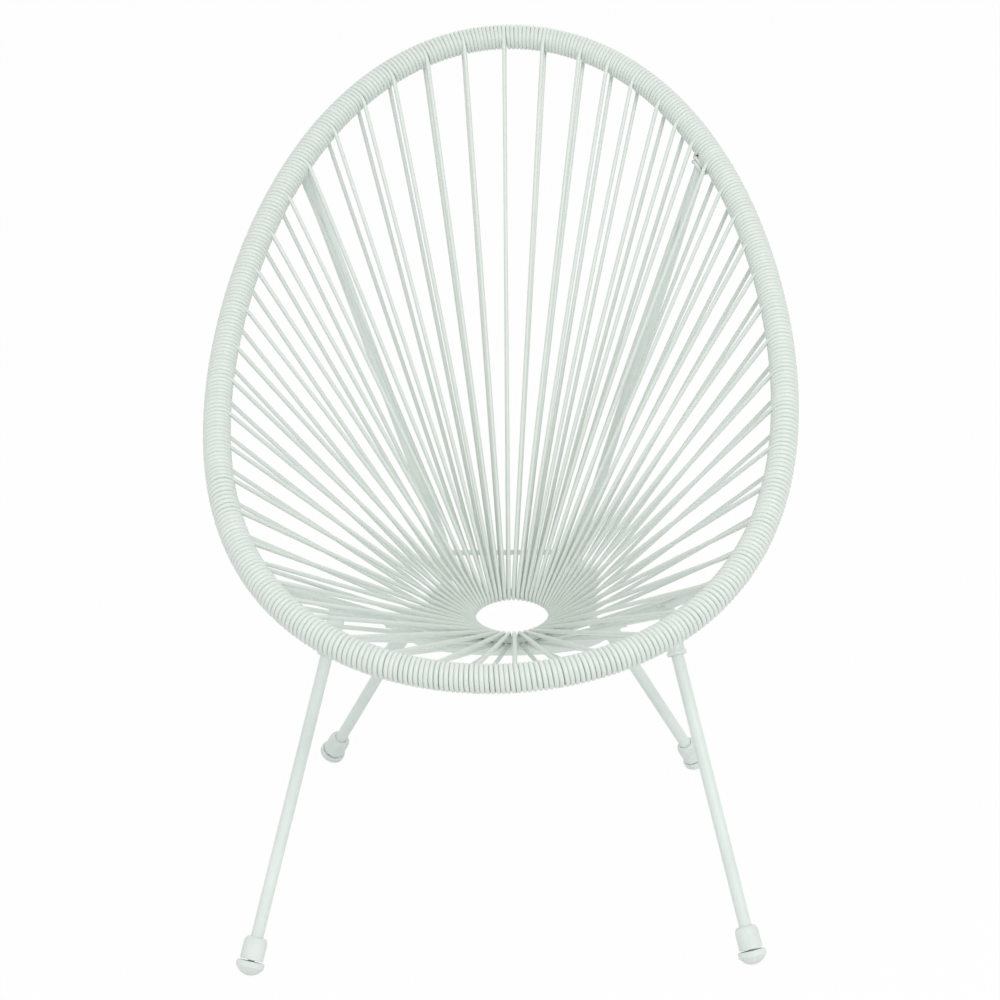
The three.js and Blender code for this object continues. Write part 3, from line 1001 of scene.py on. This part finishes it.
@dataclass
class WoundCord:
    """One cord wound round the hoop, with a span over the ring and back at each step."""

    hoop: Hoop
    ring: CentreRing
    tubes: list[SideTube]
    diameter: float = 0.0054
    seat_gap: float = 0.0003
    ring_gap: float = 0.0003
    span_count: int = 52
    spans_per_length: int = 4
    # Span number, and the turns wound to a step of the hoop there
    paces: Marks = (
        (0, 9.8), (2, 10.3), (5, 10.3), (8, 9.6), (11, 9.4), (13, 8.8), (17, 8.4), (20, 8.4), (23, 9.5),
        (27, 9.4), (29, 8.9), (32, 8.9), (34, 8.2), (37, 8.5), (40, 9.0), (43, 8.7), (46, 9.8), (50, 9.7),
        (52, 9.8),
    )
    # Span number, and the steps by which the spans there stand ahead of an even spacing
    drifts: Marks = (
        (0, -0.1), (2, 0), (4, -0.3), (5, -0.3), (6, -0.5), (8, -0.95), (12, -1.2), (16, -1.05), (18, -0.6),
        (21, -0.42), (24, -0.2), (26, -0.5), (28, -0.9), (31, -0.8), (33, -1.4), (35, -2.05), (41, -1.93),
        (45, -1.05), (46, -0.84), (48, -0.4), (52, -0.1),
    )
    # Span number, and the steps by which its loop stands ahead on the ring
    ring_starts: Marks = (
        (0, -0.9), (8, -1.1), (14, -0.9), (22, -1.2), (26, -0.7), (30, -0.4), (44, -0.6), (52, -0.9),
    )
    weld_room: float = 0.006
    weld_reach: float = 0.08
    turn_steps: int = 20
    strand_steps: int = 8
    ring_steps: int = 8
    rounds: int = 2
    wander: float = 0.00022
    wander_out_share: float = 0.3
    leave_ease: float = 0.016
    ease_steps: int = 5
    nestle: float = 1.03
    widest_swell: float = 1.16
    flatten_share: float = 0.25
    least_pitch: float = 0.0040
    part_angle: float = 1.25
    climb_share: float = 0.5
    slack: float = 0.0007
    lash_turns: float = 2.0
    lash_reach: float = 0.0160
    lash_start: float = -QUARTER
    reach: float = field(init=False)
    luck: random.Random = field(init=False)
    welds: list[Weld] = field(init=False)

    def __post_init__(self) -> None:
        """Settle the reach of the winding, its luck and the welds."""
        self.reach = self.hoop.tube / 2 + self.seat_gap + self.diameter / 2
        self.luck = random.Random(self.span_count)
        self.welds = []
        for tube in self.tubes:
            corners = tube.corners()
            for share, along in (
                (tube.front_share, corners[1] - corners[0]), (tube.back_share, corners[2] - corners[3]),
            ):
                self.welds.append(Weld(tube.hoop_share(share), along.normalized()))

    def span_share(self, number: int) -> float:
        """The share of the hoop where a span leaves it, moved aside at a weld.

        Args:
            number: The span's number from the top of the back.

        Returns:
            The share, past one for spans past a whole turn.
        """
        laps, place = divmod(number, self.span_count)
        even = (place + self.read(self.drifts, place)) / self.span_count
        for weld in self.welds:
            aside = (even - weld.share) * self.hoop.length
            if abs(aside) < self.weld_room:
                even = weld.share + math.copysign(self.weld_room, aside) / self.hoop.length
                break
        return laps + even

    @staticmethod
    def read(marks: Marks, place: float) -> float:
        """Read a value between listed marks.

        Args:
            marks: Pairs of a place and its value, in order.
            place: Where the value is wanted.

        Returns:
            The value.
        """
        for (low, start), (high, end) in zip(marks, marks[1:]):
            if place <= high:
                return start + (end - start) * (place - low) / (high - low)
        return marks[-1][1]

    def ring_point(self, share: float) -> tuple[Vector, Vector]:
        """The middle of the centre ring's rod at a share of a turn, and the outward direction there."""
        outward = self.ring.outward(share)
        return self.ring.centre + outward * self.ring.radius, outward

    def section(self, share: float) -> Section:
        """The hoop's cross-section at a share of its length, turned to face the ring."""
        centre = self.hoop.at(share)
        along = self.hoop.along(share)
        away = self.ring_point(share)[0] - centre
        inward = (away - along * away.dot(along)).normalized()
        upper = self.facing_in(inward.cross(along).normalized(), centre)
        return Section(centre, along, inward, upper)

    def facing_in(self, face: Vector, place: Vector) -> Vector:
        """Turn a direction round if, from its place, it points away from the middle of the hoop."""
        middle = Vector((0.0, 0.0, self.hoop.mid_height))
        return -face if face.dot(middle - place) < 0 else face

    def part_round_tube(
        self, run: float, turn: float, first: float, slope: float, low: float, high: float,
    ) -> tuple[float, float]:
        """Move a point of a turn aside where a side tube is in its way.

        Args:
            run: The point's place along the hoop.
            turn: Its angle along the winding.
            first: The winding's place at angle zero.
            slope: Metres along the hoop for each radian.
            low: The angle where this winding starts.
            high: The angle where it ends.

        Returns:
            The new place and the extra height over the hoop.
        """
        for weld in self.welds:
            place = weld.share * self.hoop.length
            aside = (run - place + self.hoop.length / 2) % self.hoop.length - self.hoop.length / 2
            if abs(aside) > self.weld_reach:
                continue
            section = self.section(weld.share)
            square = math.sqrt(1 - weld.along.dot(section.along) ** 2)
            entry = math.atan2(weld.along.dot(section.upper), -weld.along.dot(section.inward))
            middle = place + self.reach * weld.along.dot(section.along) / square
            clear = (self.tubes[0].diameter / 2 + self.diameter / 2 + self.seat_gap) / square
            crossing = entry + FULL_TURN * round((turn - entry) / FULL_TURN)
            if not low <= crossing <= high:
                continue
            laps = round((run - place) / self.hoop.length) * self.hoop.length
            offset = first + slope * crossing - middle - laps
            pitch = slope * FULL_TURN
            rank = math.floor(abs(offset) / pitch)
            wanted = clear + max(rank - 1, 0) * self.least_pitch
            lift = self.climb_share * self.diameter if rank == 0 else 0.0
            shift = max(wanted - abs(offset), 0.0)
            distance = min(abs(turn - crossing) / self.part_angle, 1.0)
            weight = 0.5 + 0.5 * math.cos(math.pi * distance)
            return run + math.copysign(shift * weight, offset), lift * weight
        return run, 0.0

    def winding(self, number: int) -> list[tuple[Vector, float]]:
        """The turns from one span's return to the next span's start.

        Args:
            number: The span before the turns.

        Returns:
            The cord's points, each with how far it is pressed wide there.
        """
        runs = [self.span_share(place) * self.hoop.length for place in (number, number + 1)]
        even = self.hoop.length / self.span_count
        pace = self.read(self.paces, (runs[0] + runs[1]) / 2 / even % self.span_count)
        turns = max(2, round(pace * (runs[1] - runs[0]) / even))
        low, high = 3 * QUARTER, QUARTER + FULL_TURN * turns
        slope = (runs[1] - runs[0]) / (FULL_TURN * turns)
        first = runs[0] - slope * QUARTER
        wide = min(max(self.nestle * slope * FULL_TURN / self.diameter, 1.0), self.widest_swell)
        sink = self.flatten_share * self.diameter * (wide - 1)
        count = round((high - low) / FULL_TURN * self.turn_steps)
        stray = [self.luck.uniform(-1, 1) for _ in range(turns + 2)]
        route = []
        for step in range(count + 1):
            turn = low + (high - low) * step / count
            calm = min(1.0, (turn - low) / QUARTER, (high - turn) / QUARTER)
            lap, inside = divmod((turn - low) / FULL_TURN, 1.0)
            drift = stray[int(lap)] * (1 - inside) + stray[int(lap) + 1] * inside
            run = first + slope * turn + self.wander * drift * calm
            rise = self.wander_out_share * self.wander * stray[int(lap)] * math.sin(math.pi * inside)
            run, lift = self.part_round_tube(run, turn, first, slope, low, high)
            section = self.section(run / self.hoop.length)
            side = section.inward * -math.cos(turn) + section.upper * math.sin(turn)
            point = section.centre + side * (self.reach + (rise - sink) * calm + lift)
            route.append((point, 1 + (wide - 1) * calm))
        return route

    def span(self, number: int) -> list[Vector]:
        """A span's points from the hoop over and round the ring and back.

        Args:
            number: The span's number.

        Returns:
            The points between, not with, the two ends at the hoop.
        """
        section = self.section(self.span_share(number))
        start = section.centre + section.upper * self.reach
        end = section.centre - section.upper * self.reach
        ahead = self.read(self.ring_starts, number)
        low, outward = self.ring_point((number + ahead) / self.span_count)
        axis = Matrix.Rotation(self.ring.tilt, 3, "X") @ UP
        rod = outward.cross(axis)
        away = (low - section.centre).normalized()
        face = self.facing_in(rod.cross(away).normalized(), low)
        side = face.cross(rod).normalized()
        if side.dot(away) < 0:
            side.negate()
        hold = self.ring.rod / 2 + self.ring_gap + self.diameter / 2
        loop = []
        for step in range(self.ring_steps + 1):
            turn = QUARTER - math.pi * step / self.ring_steps
            loop.append(low + (face * math.sin(turn) + side * math.cos(turn)) * hold)
        sway = rod * self.luck.uniform(-1, 1) * self.slack
        there = self.strand(start, loop[0], section.inward, sway)
        back = self.strand(end, loop[-1], section.inward, -sway)
        return [*there, *loop, *reversed(back)]

    def strand(self, start: Vector, end: Vector, leave: Vector, sway: Vector) -> list[Vector]:
        """Points of one strand that leaves the hoop square and then runs nearly straight.

        Args:
            start: Where it leaves the hoop.
            end: Where it meets the ring.
            leave: The direction of the turn that it comes from.
            sway: How far its middle strays.

        Returns:
            The points, without the two ends.
        """
        half = self.leave_ease / 2
        knee = start + leave * half
        free = knee + (end - knee).normalized() * half
        points = []
        for step in range(1, self.ease_steps + 1):
            share = step / self.ease_steps
            points.append(start.lerp(knee, share).lerp(knee.lerp(free, share), share))
        for step in range(1, self.strand_steps):
            share = step / self.strand_steps
            points.append(free.lerp(end, share) + sway * math.sin(math.pi * share))
        return points

    def build(self) -> None:
        """Make the cord in lengths of four spans with the turns between them."""
        halves, spans = [], []
        for number in range(self.span_count):
            turns = self.winding(number)
            middle = self.turn_steps * round(len(turns) / 2 / self.turn_steps)
            halves.append((turns[:middle + 1], turns[middle:]))
            spans.append([(point, 1.0) for point in self.span(number)])
        total = 0.0
        for length in range(self.span_count // self.spans_per_length):
            first = length * self.spans_per_length
            route = list(halves[(first - 1) % self.span_count][1])
            for number in range(first, first + self.spans_per_length):
                route += spans[number] + halves[number][0]
                if number < first + self.spans_per_length - 1:
                    route += halves[number][1][1:]
            points, swells = (list(values) for values in zip(*route))
            runs = distances(points, total)
            total = runs[-1]
            label = f"{length + 1:02d}"
            self.lay(f"wound_cord_{label}", points, swells, runs, f"cord_length_{label}")
        LOG.info("the cord is %.1f m long", total)
        # Only the right tube carries a lashing
        self.lash(self.tubes[0])

    def lash(self, tube: SideTube) -> None:
        """Wind the cord round the top of a side tube, close under the hoop.

        Args:
            tube: The side tube.
        """
        corners = tube.corners()
        down = (corners[2] - corners[3]).normalized()
        along = self.hoop.along(tube.hoop_share(tube.back_share))
        lean = math.sqrt(1 - down.dot(along) ** 2)
        across = down.cross(along).normalized()
        hold = tube.diameter / 2 + self.seat_gap + self.diameter / 2
        count = round(self.lash_turns * self.turn_steps)
        route = []
        for step in range(count + 1):
            turn = FULL_TURN * self.lash_turns * step / count + self.lash_start
            aside = hold * math.sin(turn)
            advance = self.diameter * self.lash_turns * step / count
            reach = math.sqrt(self.lash_reach ** 2 - aside ** 2) + advance
            ring = along * (hold / lean * math.cos(turn)) + across * aside
            route.append(corners[3] + down * (reach / lean) + ring)
        runs = [(route[0] - point).length for point in route]
        self.lay(f"tube_lashing_{tube.hand.word}", route, [1.0] * len(route), runs)

    def lay(
        self, name: str, points: list[Vector], swells: list[float], runs: list[float], *nodes: str,
    ) -> None:
        """Sweep a length of cord and mark each point's place along and round it for its finish.

        Args:
            name: The piece's name.
            points: The points of its route.
            swells: How far it is pressed wide at each point.
            runs: The run along the cord at each point.
            *nodes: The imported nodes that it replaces.
        """
        piece = Bench.swept(name, points, self.diameter / 2, self.rounds, False, swells)
        sides = 4 + 2 * self.rounds
        last = len(runs) - 1
        corners = range(len(piece.data.vertices))
        for key, values in (
            ("cord_run", [runs[min(corner // sides, last)] for corner in corners]),
            ("cord_round", [(corner % sides) / sides for corner in corners]),
        ):
            piece.data.attributes.new(key, "FLOAT", "POINT").data.foreach_set("value", values)
        bpy.ops.object.shade_smooth()
        dress(piece, Slot.CORD, *nodes)


@dataclass(frozen=True)
class Softbox:
    """A soft square lamp: its name, place, side in metres and power in watts."""

    name: str
    place: Place
    size: float
    watts: float

    def hang(self, aim: Vector) -> None:
        """Hang the lamp so that it faces a point."""
        data = bpy.data.lights.new(self.name, "AREA")
        data.shape = "SQUARE"
        data.size = self.size
        data.energy = self.watts
        lamp = bpy.data.objects.new(self.name, data)
        bpy.context.collection.objects.link(lamp)
        lamp.location = self.place
        lamp.rotation_euler = (Vector(self.place) - aim).to_track_quat("Z", "Y").to_euler()


@dataclass
class Studio:
    """Camera, floor, world and soft lamps."""

    eye: Place = (0.1096, -2.6424, 1.5931)
    pitch: float = math.radians(23.765)
    yaw: float = math.radians(-2.499)
    roll: float = math.radians(-1.355)
    focal_share: float = 2.3
    sensor: float = 36.0
    floor_half: float = 9.0
    floor_glow: float = 0.96
    floor_colour: Colour = (0.86, 0.87, 0.865, 1.0)
    ambient: float = 0.74
    white: Colour = (1.0, 1.0, 1.0, 1.0)
    far_clip: float = 60.0
    lamp_aim: Place = (0.0, 0.0, 0.45)
    key: Softbox = Softbox("key_softbox", (1.3, -2.3, 2.8), 1.8, 36.0)
    fill: Softbox = Softbox("fill_softbox", (-2.3, -1.8, 1.9), 2.0, 8.0)
    back: Softbox = Softbox("back_softbox", (0.3, 2.4, 2.6), 2.0, 8.0)

    def place_camera(self) -> None:
        """Set the camera at the photograph's viewing angle."""
        data = bpy.data.cameras.new("view_camera")
        data.sensor_fit = "HORIZONTAL"
        data.sensor_width = self.sensor
        data.lens = self.focal_share * self.sensor
        data.clip_end = self.far_clip
        camera = bpy.data.objects.new("view_camera", data)
        bpy.context.collection.objects.link(camera)
        forward = Vector((
            math.sin(self.yaw) * math.cos(self.pitch), math.cos(self.yaw) * math.cos(self.pitch),
            -math.sin(self.pitch),
        ))
        level = Vector((math.cos(self.yaw), -math.sin(self.yaw), 0.0))
        rise = level.cross(forward)
        right = level * math.cos(self.roll) + rise * math.sin(self.roll)
        top = rise * math.cos(self.roll) - level * math.sin(self.roll)
        turn = Matrix((right, top, -forward)).transposed().to_4x4()
        camera.matrix_world = Matrix.Translation(Vector(self.eye)) @ turn
        bpy.context.scene.camera = camera

    def light_world(self) -> None:
        """Make a white backdrop and a soft even ambient light."""
        graph = Graph(bpy.data.worlds.new("studio_world"))
        soft, white = (
            graph.add("Background", {"Color": self.white, "Strength": strength}).outputs["Background"]
            for strength in (self.ambient, 1.0)
        )
        mix = graph.add("MixShader", {"Fac": graph.seen_directly(), 1: soft, 2: white})
        graph.close(mix.outputs["Shader"])
        bpy.context.scene.world = graph.owner

    def lay_floor(self) -> None:
        """Lay a white floor that keeps the chair's soft shadow."""
        Bench.clear()
        bpy.ops.mesh.primitive_plane_add(size=2 * self.floor_half, location=(0.0, 0.0, 0.0))
        floor = bpy.context.object
        floor.name = "studio_floor"
        graph = Graph(bpy.data.materials.new("studio_floor_white"))
        matte = graph.add("BsdfDiffuse", {"Color": self.floor_colour}).outputs["BSDF"]
        glow = graph.add("Emission", {"Strength": 1.0}).outputs["Emission"]
        share = graph.math("MULTIPLY", graph.seen_directly(), self.floor_glow)
        mix = graph.add("MixShader", {"Fac": share, 1: matte, 2: glow})
        graph.close(mix.outputs["Shader"])
        floor.data.materials.append(graph.owner)

    def build(self) -> None:
        """Set the camera, floor, world and lamps."""
        self.place_camera()
        self.light_world()
        self.lay_floor()
        for softbox in (self.key, self.fill, self.back):
            softbox.hang(Vector(self.lamp_aim))


def main() -> None:
    """Build the chair piece by piece."""
    logging.basicConfig(level=logging.INFO, format="%(message)s")
    Studio().build()
    hoop = Hoop()
    ring = CentreRing()
    tubes = [SideTube(hoop, hand) for hand in Hand]
    hoop.build()
    ring.build()
    for tube in tubes:
        tube.build()
        Leg(tube, "front", FRONT_SOCKET_SHARE, *FRONT_FEET[tube.hand]).build()
        Leg(tube, "rear", REAR_SOCKET_SHARE, *REAR_FEET[tube.hand]).build()
    FrontBow(tubes).build()
    RearCrossbar(tubes).build()
    WoundCord(hoop, ring, tubes).build()
    bpy.context.scene.view_settings.view_transform = "Standard"


if __name__ == "__main__":
    main()
